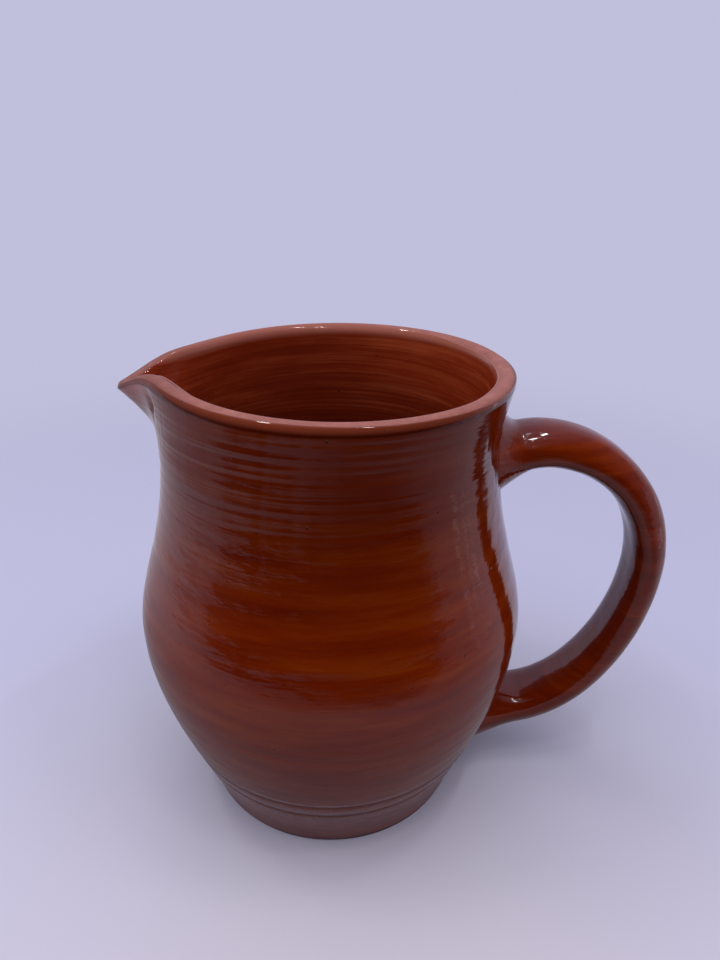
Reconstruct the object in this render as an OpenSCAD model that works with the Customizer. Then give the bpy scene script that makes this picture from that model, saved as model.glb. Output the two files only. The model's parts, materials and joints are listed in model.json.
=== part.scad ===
// Hand-thrown ceramic pitcher: round belly, pinched spout and a pulled strap handle.
// Origin at the centre of the foot's flat underside, +Z up, spout towards -X, handle towards +X.

/* [Body] */
// Height from the table to the top of the rim
height = 160; // [140:1:200]
// Radius of the flat foot
foot_r = 47; // [40:0.5:52]
// Largest radius, at the belly
belly_r = 67; // [60:0.5:74]
// Height of the widest part of the belly
belly_z = 71; // [60:1:80]
// Radius of the neck
neck_r = 54.4; // [50:0.2:58]
// Outer radius of the rim
rim_r = 55; // [50:0.2:60]
// Thickness of the wall at the neck
neck_wall = 5; // [4:0.2:6]
// Thickness of the wall at the belly
belly_wall = 5.5; // [4:0.2:7]
// Thickness of the floor
floor_t = 7; // [5:0.5:10]
// How far the rim leans over towards the handle
rim_lean = 3.8; // [0:0.1:4]

/* [Spout] */
// How far the spout's tip reaches past the rim
spout_reach = 15.8; // [8:0.5:20]
// Angle round the rim over which the spout fades out, in degrees
spout_width = 10.5; // [8:0.5:16]
// Height at which the throat of the spout starts to leave the wall
throat_z = 131; // [120:1:140]
// How far the tip dips below the rim
tip_dip = 6.5; // [0:0.5:10]

/* [Handle] */
// Reach of the handle's centre line from the pitcher's axis
handle_reach = 110.7; // [105:0.1:118]
// Height of the handle's centre line at its upper end
handle_top_z = 124; // [120:1:128]
// Height of the handle's centre line at its lower end
handle_foot_z = 26; // [24:1:30]
// Thickness of the strap where it is thinnest
strap_t = 13.8; // [10:0.2:16]
// Width of the strap where it is narrowest
strap_w = 20; // [14:0.5:24]
// Extra thickness at the strap's two ends
root_t = 5; // [2:0.5:8]
// Extra width at the strap's two ends
root_w = 3; // [0:0.5:6]
// Width of the thumbed-in fillet round each end
fillet = 6; // [4:0.5:8]
// How far the upper fillet is smeared up towards the rim
smear = 12; // [6:0.5:14]

/* [Glaze] */
// Thickness of the glaze coat
glaze_t = 0.3; // [0.2:0.05:0.6]
// Bare clay left above the table
bare_foot = 2; // [1:0.5:5]
// Thickness of the slip between the handle and the wall
slip_t = 0.6; // [0.4:0.1:1.5]

/* [Hidden] */

// The wall is a plain revolved shape up to collar_z; the collar above it carries the spout.
collar_z = 104;
neck_z = 146;
lip_t = 2.9;
lip_z = height - lip_t;
lean_z = 135;
foot_bevel = 1.4;
curve_steps = 16;
overlap = 0.01;
seam_step = 0.2;

// Rounding of the spout's nose and width of its dip, in degrees
nose = 3;
dip_width = 8;
throat_power = 1.6;

// Outer and inner profiles as [radius, height]: one curve up to the belly and one to the neck
outer_low = [[foot_r, 0], [foot_r + 3, 14], [belly_r, belly_z - 26], [belly_r, belly_z]];
outer_high = [[belly_r, belly_z], [belly_r, belly_z + 19], [neck_r, neck_z - 41], [neck_r, neck_z]];
inner_belly = belly_r - belly_wall;
inner_neck = neck_r - neck_wall;
inner_low = [[foot_r - 9, floor_t], [foot_r - 1, floor_t + 5], [inner_belly, belly_z - 26],
    [inner_belly, belly_z]];
inner_high = [[inner_belly, belly_z], [inner_belly, belly_z + 19], [inner_neck, neck_z - 41],
    [inner_neck, neck_z]];

function bezier(p, t) = pow(1 - t, 3) * p[0] + 3 * t * pow(1 - t, 2) * p[1]
    + 3 * t * t * (1 - t) * p[2] + pow(t, 3) * p[3];
function bezier_slope(p, t) = pow(1 - t, 2) * (p[1] - p[0]) + 2 * t * (1 - t) * (p[2] - p[1])
    + t * t * (p[3] - p[2]);
function curve(p) = [for (i = [0:curve_steps]) bezier(p, i / curve_steps)];
function tail(list) = [for (i = [1:len(list) - 1]) list[i]];
function reversed(list) = [for (i = [len(list) - 1:-1:0]) list[i]];

outer_profile = concat(curve(outer_low), tail(curve(outer_high)), [[rim_r, lip_z]]);
inner_profile = concat(curve(inner_low), tail(curve(inner_high)), [[rim_r - 2 * lip_t, lip_z]]);

// Radius of a profile at a height
function radius_at(profile, z) = lookup(z, [for (p = profile) [p[1], p[0]]]);

// The part of a profile between two heights, with both ends added
function between(profile, low, high) = concat(
    [[radius_at(profile, low), low]],
    [for (p = profile) if (p[1] > low + overlap && p[1] < high - overlap) p],
    [[radius_at(profile, high), high]]);

// A profile moved sideways along its own normal; positive is away from the axis.
// The last point moves level, so that the skin ends in a level face.
function moved(profile, d) = [for (i = [0:len(profile) - 1])
    let(last = len(profile) - 1, u = profile[min(i + 1, last)] - profile[max(i - 1, 0)])
    profile[i] + d * (i == last ? [1, 0] : [u[1], -u[0]] / norm(u))];

// ---- Spout and rim: everything depends on the angle a from the spout's own direction

// Angles round the collar: close together at the spout, wider elsewhere
angles = concat([for (a = [-30:2.5:30]) a], [for (a = [35:5:60]) a],
    [for (a = [67.5:7.5:292.5]) a], [for (a = [300:5:325]) a]);

function from_spout(a) = a > 180 ? 360 - a : abs(a);
function pull(a) = spout_reach * exp((nose - sqrt(pow(from_spout(a), 2) + nose * nose)) / spout_width);
function top_z(a) = height - tip_dip * exp(-pow(from_spout(a) / dip_width, 2));
function lean(z) = rim_lean * pow(max(z - lean_z, 0) / (height - lean_z), 1.5);

// Point of the collar at angle a and height z, on a profile that is pulled out into the spout
function collar_point(profile, a, z) =
    let(s = max(z - throat_z, 0) / (top_z(a) - lip_t - throat_z),
        r = radius_at(profile, min(z, lip_z)) + pull(a) * pow(s, throat_power))
    [lean(z) - r * cos(a), r * sin(a), z];

// A column of points up the wall at one angle
function column(profile, a, low, high, steps) = [for (i = [0:steps])
    collar_point(profile, a, low + (high - low) * i / steps)];

// ---- Closed meshes from a list of rings; each ring is a closed loop of the same length

function flat(rings) = [for (ring = rings) for (p = ring) p];

// Faces between the rings; wrap joins the last ring to the first
function side_faces(rings, count, wrap) = [for (i = [0:rings - (wrap ? 1 : 2)])
    for (j = [0:count - 1])
    let(k = (j + 1) % count, next = (i + 1) % rings)
    each [[i * count + j, next * count + j, next * count + k],
        [i * count + j, next * count + k, i * count + k]]];

module ring_solid(rings) {
    polyhedron(points = flat(rings), faces = side_faces(len(rings), len(rings[0]), true),
        convexity = 6);
}

module capped_solid(rings) {
    n = len(rings);
    count = len(rings[0]);
    points = concat(flat(rings), [middle(rings[0]), middle(rings[n - 1])]);
    caps = [for (j = [0:count - 1]) each [[n * count, j, (j + 1) % count],
        [n * count + 1, (n - 1) * count + (j + 1) % count, (n - 1) * count + j]]];
    polyhedron(points = points, faces = concat(side_faces(n, count, false), caps), convexity = 6);
}

function total(list, i = 0) = i == len(list) - 1 ? list[i] : list[i] + total(list, i + 1);
function middle(ring) = total(ring) / len(ring);

// Normal of a ring surface at ring i and point j
function surface_normal(rings, i, j) =
    let(count = len(rings[0]),
        along = rings[min(i + 1, len(rings) - 1)][j] - rings[max(i - 1, 0)][j],
        around = rings[i][(j + 1) % count] - rings[i][(j + count - 1) % count],
        n = cross(around, along))
    n / norm(n);
function coat(rings, d) = [for (i = [0:len(rings) - 1])
    [for (j = [0:len(rings[0]) - 1]) rings[i][j] + d * surface_normal(rings, i, j)]];

// ---- Handle: two curves that meet upright at the outermost point

upper_curve = [[52, handle_top_z], [68, handle_top_z + 21], [handle_reach, 127], [handle_reach, 88]];
lower_curve = [[handle_reach, 88], [handle_reach, 56], [88.5, handle_foot_z - 11], [52, handle_foot_z]];
strap_sides = 20;
upper_start = 0.2;
lower_end = 1.8;
strap_steps = 24;
seat_rings = 3;

// u runs from 0 at the upper end to 1 at the outermost point and 2 at the lower end
function path_point(u) = u < 1 ? bezier(upper_curve, u) : bezier(lower_curve, u - 1);
function path_slope(u) = u < 1 ? bezier_slope(upper_curve, u) : bezier_slope(lower_curve, u - 1);
function end_share(u) = pow(abs(u - 1), 2);

function strap_ring(u) =
    let(c = path_point(u), s = path_slope(u) / norm(path_slope(u)),
        half_t = (strap_t + root_t * end_share(u)) / 2,
        half_w = (strap_w + root_w * end_share(u)) / 2)
    [for (j = [0:strap_sides - 1])
        let(q = 360 * j / strap_sides)
        [c[0] - s[1] * half_t * sin(q), half_w * cos(q), c[1] + s[0] * half_t * sin(q)]];

// X of the outer wall at a given y and z, and a point slid along a direction onto the wall
function wall_x(y, z) = lean(z) + sqrt(pow(radius_at(outer_profile, z), 2) - y * y);
function slide(p, dir, gap) = p + dir * (wall_x(p[1], p[2]) + gap - p[0]) / dir[0];
function onto_wall(p, dir, gap) = slide(slide(slide(p, dir, gap), dir, gap), dir, gap);
function seat(p, gap) = [wall_x(p[1], p[2]) + gap, p[1], p[2]];

// Outline of a strap end where it meets the wall, and the same outline widened by the fillet
function root_ring(u, gap) =
    let(s = path_slope(u), dir = [s[0], 0, s[1]])
    [for (p = strap_ring(u)) onto_wall(p, dir, gap)];
function widened(ring, up, d) =
    let(m = middle(ring))
    [for (p = ring)
        let(v = [0, p[1] - m[1], p[2] - m[2]] / norm([p[1] - m[1], p[2] - m[2]]))
        seat(p + v * (d + (up - d) * pow(max(v[2], 0), 2)), 0)];

// Rings that fill an outline, lying on the wall, from its middle out to its edge
function seat_fill(ring, gap) =
    let(m = middle(ring))
    [for (k = [1:seat_rings - 1])
        [for (p = ring) seat(m + (p - m) * k / seat_rings, gap)]];

// Between its straight ends the strap follows the two curves
strap_rings = [for (k = [0:strap_steps])
    strap_ring(upper_start + (lower_end - upper_start) * k / strap_steps)];
upper_root = root_ring(upper_start, slip_t);
lower_root = root_ring(lower_end, slip_t);

// Concave fillet from the wall up to the strap: a curve that leaves the wall and the strap smoothly
fillet_steps = 4;
function fillet_rings(edge, root, top) = [for (i = [0:fillet_steps])
    let(t = i / fillet_steps)
    [for (j = [0:len(edge) - 1])
        pow(1 - t, 2) * edge[j] + 2 * t * (1 - t) * root[j] + t * t * top[j]]];
upper_edge = widened(upper_root, smear, fillet);
lower_edge = widened(lower_root, fillet, fillet);
upper_fillet = fillet_rings(upper_edge, upper_root, strap_rings[0]);
lower_fillet = fillet_rings(lower_edge, lower_root, strap_rings[strap_steps]);

// A slip joint: its seat on the wall, the fillet up to the strap, and the slip under the strap
function joint_rings(edge, fillet_part, root) = concat(
    seat_fill(edge, 0), fillet_part, [root], reversed(seat_fill(root, slip_t)));

// Everything that a slip joint covers on the wall, as a block along X
module joint_window(edge) {
    reach = 45;
    translate([reach, 0, 0])
        rotate([90, 0, 90])
            linear_extrude(height = reach)
                polygon([for (p = edge) [p[1], p[2]]]);
}

// ---- Pieces

lip_steps = 6;
lip_turn = 180 / lip_steps;
wall_steps = 9;

// Point on the rounded lip, b degrees over from its outer side, and the outward direction there
function lip_point(a, b) =
    let(outer = collar_point(outer_profile, a, top_z(a) - lip_t),
        inner = collar_point(inner_profile, a, top_z(a) - lip_t), m = (outer + inner) / 2)
    m + (outer - m) * cos(b) + [0, 0, lip_t * sin(b)];
function outward(a, b) = [-cos(a) * cos(b), sin(a) * cos(b), sin(b)];
function lip_arc(a) = [for (i = [1:lip_steps - 1]) lip_point(a, lip_turn * i)];

// The collar starts a hair wider than the revolved wall below it, so that its straight sides cover it
function seam(points, a, d) = concat([points[0] + d * outward(a, 0)], tail(points));

function clay_column(a) = concat(
    seam(column(outer_profile, a, collar_z, top_z(a) - lip_t, wall_steps), a, seam_step), lip_arc(a),
    reversed(seam(column(inner_profile, a, collar_z, top_z(a) - lip_t, wall_steps), a, -seam_step)));

// The wheel-thrown wall and floor, with the spout pinched out of the rim
module thrown_body() {
    color("#8f4a35") {
        rotate_extrude($fn = 120)
            polygon(concat([[0, 0], [foot_r - foot_bevel, 0]],
                between(outer_profile, foot_bevel, collar_z),
                reversed(between(inner_profile, floor_t, collar_z)), [[0, floor_t]]));
        ring_solid([for (a = angles) clay_column(a)]);
    }
}

// The pulled strap, whose ends lie on the slip
module handle() {
    color("#8f4a35")
        capped_solid(concat(seat_fill(upper_root, slip_t), [upper_root], strap_rings, [lower_root],
            reversed(seat_fill(lower_root, slip_t))));
}

// Slip and fillet that lute the strap's upper end to the neck
module upper_slip_joint() {
    color("#a05a42")
        capped_solid(joint_rings(upper_edge, upper_fillet, upper_root));
}

// Slip and fillet that lute the strap's lower end to the wall
module lower_slip_joint() {
    color("#a05a42")
        capped_solid(reversed(joint_rings(lower_edge, lower_fillet, lower_root)));
}

// A coat on one side of the wall, as a revolved skin with a collar that follows the spout.
// The points in middle_points close the skin over the floor.
module wall_coat(profile, d, low, middle_points = []) {
    skin = between(profile, low, collar_z);
    rotate_extrude($fn = 120)
        polygon(concat(skin, reversed(moved(skin, d)), middle_points));
    ring_solid([for (a = angles) coated_column(profile, d, a)]);
}

// The coat ends on the shoulder of the lip, and leaves the top of the lip bare
function coated_column(profile, d, a) =
    let(wall = column(profile, a, collar_z, top_z(a) - lip_t, wall_steps),
        b = d > 0 ? lip_turn : 180 - lip_turn, shoulder = lip_point(a, b),
        under = concat(wall, [shoulder]),
        skin = concat([for (p = wall) p + d * outward(a, 0)], [shoulder + abs(d) * outward(a, b)]))
    d > 0 ? concat(seam(skin, a, seam_step), reversed(seam(under, a, -seam_step)))
        : concat(seam(under, a, seam_step), reversed(seam(skin, a, -seam_step)));

// Glass coat over the outside of the pot, cut away where the slip joints sit on the clay
module body_glaze() {
    color("#7a2b14")
        difference() {
            wall_coat(outer_profile, glaze_t, bare_foot);
            joint_window(upper_edge);
            joint_window(lower_edge);
        }
}

// Glass coat over the inside, wall and floor
module liner_glaze() {
    color("#7a2b14")
        wall_coat(inner_profile, -glaze_t, floor_t, [[0, floor_t + glaze_t], [0, floor_t]]);
}

// Glass coat over the strap and both fillets
module handle_glaze() {
    inner_rings = [for (k = [1:strap_steps - 1]) strap_rings[k]];
    surface = concat(upper_fillet, inner_rings, reversed(lower_fillet));
    color("#7a2b14")
        ring_solid(concat(coat(surface, glaze_t), reversed(surface)));
}

thrown_body();
handle();
upper_slip_joint();
lower_slip_joint();
body_glaze();
liner_glaze();
handle_glaze();
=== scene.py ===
import json
import math

import bpy
import numpy as np
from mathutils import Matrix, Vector

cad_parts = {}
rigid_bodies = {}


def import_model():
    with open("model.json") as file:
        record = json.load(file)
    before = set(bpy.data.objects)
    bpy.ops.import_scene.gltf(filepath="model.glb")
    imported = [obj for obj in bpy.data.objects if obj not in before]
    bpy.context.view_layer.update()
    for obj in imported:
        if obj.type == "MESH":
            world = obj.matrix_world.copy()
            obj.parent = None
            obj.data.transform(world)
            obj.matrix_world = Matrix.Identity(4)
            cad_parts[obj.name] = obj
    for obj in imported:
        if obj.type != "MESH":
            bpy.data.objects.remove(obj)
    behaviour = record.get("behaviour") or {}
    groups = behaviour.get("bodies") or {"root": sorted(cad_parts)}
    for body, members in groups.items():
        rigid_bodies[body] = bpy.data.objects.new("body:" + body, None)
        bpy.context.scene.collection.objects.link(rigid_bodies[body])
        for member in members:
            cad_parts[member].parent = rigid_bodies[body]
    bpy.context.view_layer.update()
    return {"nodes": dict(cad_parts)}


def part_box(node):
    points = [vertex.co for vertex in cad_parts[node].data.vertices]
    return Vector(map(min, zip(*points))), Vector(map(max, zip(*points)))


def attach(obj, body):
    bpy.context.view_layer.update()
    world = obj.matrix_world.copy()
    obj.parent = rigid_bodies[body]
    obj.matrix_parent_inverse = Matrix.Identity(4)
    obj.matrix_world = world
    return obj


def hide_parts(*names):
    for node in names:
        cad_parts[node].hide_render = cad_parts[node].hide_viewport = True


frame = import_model()

MM = 0.001

# ---------------------------------------------------------------- Measures of the pitcher

POT_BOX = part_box("thrown_body")
STRAP_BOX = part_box("handle")
FLOOR_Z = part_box("liner_glaze")[0].z
HEIGHT = POT_BOX[1].z
LIP = 2.9 * MM                      # half the thickness of the rounded lip
LIP_Z = HEIGHT - LIP
GLAZE = 0.3 * MM                    # thickness of the glass coat
CLAY_INSET = 0.6 * MM               # how deep the hidden clay lies under the coat
GLAZE_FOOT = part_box("body_glaze")[0].z
FOOT_BEVEL = 1.4 * MM
LOWER_GROOVE, UPPER_GROOVE = 21.3 * MM, 28 * MM
THROW_SLANT = 0.9 * MM              # ridges and grooves run this much higher in front than at the sides
ROOT_MARK = (56 * MM, 0.0, 130 * MM)  # middle of the clay smeared round the strap's upper root

# Spout: angles are in degrees, from the spout's own direction round the rim
SPOUT_WIDTH = 10.5                  # angle in which the pull falls to about a third
SPOUT_NOSE = 3.0                    # angle over which the tip is rounded
DIP_WIDTH = 8.0
TIP_DIP = 6.1 * MM                  # how far the tip lies below the rim
THROAT_Z = 131 * MM                 # where the spout starts to leave the wall
THROAT_POWER = 1.6                  # how late it swings out
COLLAR_Z = 104 * MM                 # the dip fades out down to here
PINCH_ANGLE, PINCH_Z = 17.0, 151.5 * MM   # the dents of finger and thumb
FOLDS_ANGLE, FOLDS_Z = 24.0, 148 * MM     # the small folds beside them

# The rim leans towards the strap, from LEAN_Z up, so the spout gets TIP_EXTRA more reach
LEAN_Z = 135 * MM
LEAN_POWER = 1.5
TIP_EXTRA = 1.2 * MM


def node_points(name):
    """The corners of a CAD node's mesh as an array of x, y, z."""
    mesh = frame["nodes"][name].data
    flat = np.empty(len(mesh.vertices) * 3)
    mesh.vertices.foreach_get("co", flat)
    return flat.reshape(-1, 3)


pot_points = node_points("thrown_body")
lip_points = pot_points[abs(pot_points[:, 2] - LIP_Z) < 0.2 * MM]
RIM_R = lip_points[:, 1].max()
LEAN = lip_points[:, 0].max() - RIM_R
SPOUT_REACH = -POT_BOX[0].x - RIM_R + TIP_EXTRA


def lean_at(z):
    """How far the wall's middle has moved towards the strap at height z."""
    share = np.clip((z - LEAN_Z) / (HEIGHT - LEAN_Z), 0, 1)
    return LEAN * share ** LEAN_POWER


def smooth_curve(xs, ys):
    """A function through the given points, smooth from one stretch to the next."""
    xs, ys = np.array(xs), np.array(ys)
    slopes = np.gradient(ys, xs)

    def value(x):
        i = np.clip(np.searchsorted(xs, x) - 1, 0, len(xs) - 2)
        span = xs[i + 1] - xs[i]
        t = np.clip((x - xs[i]) / span, 0, 1)
        return ((1 + 2 * t) * (1 - t) ** 2 * ys[i] + t * (1 - t) ** 2 * span * slopes[i]
                + t * t * (3 - 2 * t) * ys[i + 1] - t * t * (1 - t) * span * slopes[i + 1])
    return value


SLICE = 2 * MM                      # height of the slices in which the CAD pot's wall is read
FACE_DEPTH = 3.5 * MM               # points nearer than this to the furthest one are on the same face


def measured_wall(outside):
    """Radius of the pot's wall at any height, read from the CAD pot square to spout and handle."""
    beside = pot_points[(abs(pot_points[:, 0]) < 15 * MM) & (pot_points[:, 1] > 30 * MM)]
    beside = beside[(beside[:, 2] > 1 * MM) & (beside[:, 2] < LIP_Z + 0.1 * MM)]
    if not outside:
        beside = beside[beside[:, 2] > FLOOR_Z + 1 * MM]
    radii = np.hypot(beside[:, 0] - lean_at(beside[:, 2]), beside[:, 1])
    levels = {}
    for height, radius in zip(beside[:, 2], radii):
        near = radii[abs(beside[:, 2] - height) < 2 * SLICE]
        on_face = radius > near.max() - FACE_DEPTH if outside else radius < near.min() + FACE_DEPTH
        if on_face:
            levels.setdefault(round(height / SLICE), []).append((height, radius))
    means = [np.mean(levels[level], axis=0) for level in sorted(levels)]
    return smooth_curve([m[0] for m in means], [m[1] for m in means])


outer_r = measured_wall(True)
inner_r = measured_wall(False)

# ---------------------------------------------------------------- Geometry Nodes, in short calls


class Tree:
    """A Geometry Nodes tree that is being built, with short calls for the nodes it needs."""

    def __init__(self, name):
        self.group = bpy.data.node_groups.new(name, "GeometryNodeTree")
        self.group.interface.new_socket("Geometry", in_out="INPUT", socket_type="NodeSocketGeometry")
        self.group.interface.new_socket("Geometry", in_out="OUTPUT", socket_type="NodeSocketGeometry")
        self.start = self.group.nodes.new("NodeGroupInput")
        self.end = self.group.nodes.new("NodeGroupOutput")
        self.ids = {}

    def input(self, name, kind="Float"):
        item = self.group.interface.new_socket(name, in_out="INPUT", socket_type="NodeSocket" + kind)
        self.ids[name] = item.identifier
        return self.start.outputs[name]

    def put(self, socket, value):
        if isinstance(value, bpy.types.NodeSocket):
            self.group.links.new(value, socket)
        else:
            socket.default_value = value

    def node(self, kind, values=(), **settings):
        made = self.group.nodes.new(kind)
        for name, setting in settings.items():
            setattr(made, name, setting)
        for key, value in dict(values).items():
            self.put(made.inputs[key], value)
        return made

    def math(self, operation, *values, clamp=False):
        made = self.node("ShaderNodeMath", enumerate(values), operation=operation, use_clamp=clamp)
        return made.outputs[0]

    def add(self, *values):
        total = values[0]
        for value in values[1:]:
            total = self.math("ADD", total, value)
        return total

    def times(self, *values):
        total = values[0]
        for value in values[1:]:
            total = self.math("MULTIPLY", total, value)
        return total

    def less(self, a, b):
        return self.math("SUBTRACT", a, b)

    def share(self, value, low, high):
        """How far value is from low to high, kept between 0 and 1."""
        return self.math("DIVIDE", self.less(value, low), self.less(high, low), clamp=True)

    def bell(self, value, centre, width):
        """1 where value is at the centre, and smoothly down to 0 beyond about twice the width."""
        away = self.math("DIVIDE", self.less(value, centre), width)
        return self.math("EXPONENT", self.times(away, away, -1.0))

    def vector(self, x, y, z):
        return self.node("ShaderNodeCombineXYZ", {0: x, 1: y, 2: z}).outputs[0]

    def noise(self, vector, seed, detail=2.0):
        """Smooth noise from about -1 to 1."""
        made = self.node("ShaderNodeTexNoise", {"Vector": vector, "W": seed, "Scale": 1.0,
                                                "Detail": detail}, noise_dimensions="4D")
        return self.math("MULTIPLY_ADD", made.outputs[0], 4.0, -2.0)

    def sample(self, geometry, value, index, kind="FLOAT"):
        made = self.node("GeometryNodeSampleIndex", data_type=kind, domain="POINT")
        self.put(made.inputs["Geometry"], geometry)
        self.put(made.inputs["Value"], value)
        self.put(made.inputs["Index"], index)
        return made.outputs[0]

    def named(self, name, kind="FLOAT"):
        return self.node("GeometryNodeInputNamedAttribute", {"Name": name}, data_type=kind).outputs[0]

    def sheet(self, columns):
        """A grid of one row per point of the incoming line; gives it with its column share and row."""
        line = self.start.outputs["Geometry"]
        size = self.node("GeometryNodeAttributeDomainSize", {0: line}, component="MESH")
        rows = size.outputs["Point Count"]
        grid = self.node("GeometryNodeMeshGrid", {"Size X": 1.0, "Size Y": 1.0,
                                                  "Vertices X": self.add(columns, 1.0),
                                                  "Vertices Y": rows})
        place = self.node("ShaderNodeSeparateXYZ",
                          {0: self.node("GeometryNodeInputPosition").outputs[0]})
        turn = self.math("ADD", place.outputs[0], 0.5)
        row = self.math("ROUND", self.times(self.add(place.outputs[1], 0.5), self.less(rows, 1.0)))
        return line, grid.outputs["Mesh"], turn, row

    def finish(self, mesh, position, material):
        placed = self.node("GeometryNodeSetPosition", {"Geometry": mesh, "Position": position})
        merged = self.node("GeometryNodeMergeByDistance", {"Geometry": placed.outputs[0],
                                                           "Distance": 2e-6})
        smooth = self.node("GeometryNodeSetShadeSmooth", {"Geometry": merged.outputs[0]})
        real = self.node("GeometryNodeRealizeInstances", {"Geometry": smooth.outputs[0]})
        dressed = self.node("GeometryNodeSetMaterial", {"Geometry": real.outputs[0],
                                                        "Material": material})
        self.group.links.new(dressed.outputs[0], self.end.inputs[0])


def line_object(name, points, attributes):
    """An object whose mesh is a line through points, with a number on each point per attribute."""
    mesh = bpy.data.meshes.new(name)
    mesh.from_pydata(points, [(i, i + 1) for i in range(len(points) - 1)], [])
    for label, values in attributes.items():
        is_vector = hasattr(values[0], "__len__")
        layer = mesh.attributes.new(label, "FLOAT_VECTOR" if is_vector else "FLOAT", "POINT")
        for item, value in zip(layer.data, values):
            setattr(item, "vector" if is_vector else "value", value)
    made = bpy.data.objects.new(name, mesh)
    bpy.context.scene.collection.objects.link(made)
    return made


def grow(obj, tree, values):
    """Runs a tree on an object and leaves the plain mesh that it makes."""
    modifier = obj.modifiers.new("make", "NODES")
    modifier.node_group = tree.group
    for label, value in values.items():
        modifier[tree.ids[label]] = value
    graph = bpy.context.evaluated_depsgraph_get()
    mesh = bpy.data.meshes.new_from_object(obj.evaluated_get(graph), depsgraph=graph)
    obj.modifiers.remove(modifier)
    obj.data = mesh
    return obj


# ---------------------------------------------------------------- The thrown wall

WALL_COLUMNS = 288
CROWDING = 0.55                     # how much closer the columns stand at the spout
LIP_OUTER, LIP_INNER = outer_r(LIP_Z), inner_r(LIP_Z)
LIP_MIDDLE, LIP_HALF = (LIP_OUTER + LIP_INNER) / 2, (LIP_OUTER - LIP_INNER) / 2

# What the wall tree takes; the values are those of the outside coat
WALL = {"Columns": WALL_COLUMNS, "Spout Reach": SPOUT_REACH, "Spout Width": SPOUT_WIDTH,
        "Tip Dip": TIP_DIP, "Rim Lean": LEAN, "Ridge Depth": 0.16 * MM, "Ridge Pitch": 9 * MM,
        "Ridge Low": 45 * MM, "Ridge High": 70 * MM,
        "Line Depth": 0.065 * MM, "Line Pitch": 1.6 * MM, "Line Low": 118 * MM,
        "Line High": 138 * MM, "Wobble": 0.18 * MM, "Groove Depth": 0.22 * MM,
        "Lower Groove": LOWER_GROOVE, "Upper Groove": UPPER_GROOVE, "Groove Width": 1.1 * MM,
        "Pinch Depth": 1.0 * MM, "Smear Depth": 0.4 * MM, "Edge Rise": 0.75, "Edge Turn": 262.0,
        "Lip Middle": LIP_MIDDLE, "Lip Half": LIP_HALF, "Seed": 3.0}


def over_the_lip(t, size, point, over, swell, angle):
    """Radius and height of a profile's point; a point with some over is turned round the lip.

    The coat's edge wanders there: it reaches further round on one side of the pot.
    """
    ring = t.vector(t.times(t.math("COSINE", angle), 2.2), t.times(t.math("SINE", angle), 2.2), 0.0)
    swing = t.noise(ring, t.add(size["Seed"], 31.0))
    turned = t.math("COSINE", t.less(angle, t.times(size["Edge Turn"], math.pi / 180)))
    rise = t.math("MULTIPLY_ADD", t.math("MAXIMUM", turned, 0.0), size["Edge Rise"], 1.0)
    tilt = t.times(over, t.math("MULTIPLY_ADD", swing, t.times(size["Edge Rise"], 0.12), rise))
    on_lip = t.math("GREATER_THAN", over, 0.001)
    side = t.math("SIGN", t.less(point[0], size["Lip Middle"]))
    arc_r = t.math("MULTIPLY_ADD", t.times(side, t.add(size["Lip Half"], swell)),
                   t.math("COSINE", tilt), size["Lip Middle"])
    arc_z = t.math("MULTIPLY_ADD", t.add(swell, LIP), t.math("SINE", tilt), LIP_Z)
    radius = t.math("MULTIPLY_ADD", on_lip, t.less(arc_r, point[0]), point[0])
    height = t.math("MULTIPLY_ADD", on_lip, t.less(arc_z, point[2]), point[2])
    return radius, height


def spout(t, size, radius, height, off):
    """Pulls the wall out into the spout and dips the lip there; gives the new radius and height."""
    nose = t.math("SQRT", t.math("MULTIPLY_ADD", off, off, SPOUT_NOSE ** 2))
    fall = t.math("EXPONENT", t.math("DIVIDE", t.less(SPOUT_NOSE, nose), size["Spout Width"]))
    pull = t.times(size["Spout Reach"], fall)
    dip = t.times(size["Tip Dip"], t.bell(off, 0.0, DIP_WIDTH))
    z = t.less(height, t.times(dip, t.share(height, COLLAR_Z, LIP_Z)))
    throat = t.share(z, THROAT_Z, t.less(LIP_Z, dip))
    return t.math("MULTIPLY_ADD", pull, t.math("POWER", throat, THROAT_POWER), radius), z


def handling_marks(t, size, away, off, z):
    """How far fingers moved the wall: beside the spout, and where the strap was smeared on."""
    dent = t.times(t.bell(off, PINCH_ANGLE, 2.2), t.bell(z, PINCH_Z, 3.6 * MM),
                   size["Pinch Depth"], -1.0)
    folds = t.noise(t.vector(t.times(away, 1.1), 0.0, t.times(z, 60.0)), t.add(size["Seed"], 41.0))
    beside = t.times(folds, t.bell(off, FOLDS_ANGLE, 8.0), t.bell(z, FOLDS_Z, 8 * MM))
    dent = t.math("MULTIPLY_ADD", beside, t.times(size["Pinch Depth"], 0.12), dent)

    from_strap = t.less(180.0, off)
    marks = t.noise(t.vector(t.times(away, 0.3), 0.0, t.times(z, 110.0)),
                    t.add(size["Seed"], 51.0), 3.0)
    near_root = t.times(t.bell(from_strap, 0.0, 34.0), t.share(z, 112 * MM, 124 * MM),
                        t.less(1.0, t.share(z, 148 * MM, 156 * MM)))
    return t.math("MULTIPLY_ADD", t.times(marks, near_root), size["Smear Depth"], dent)


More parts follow.
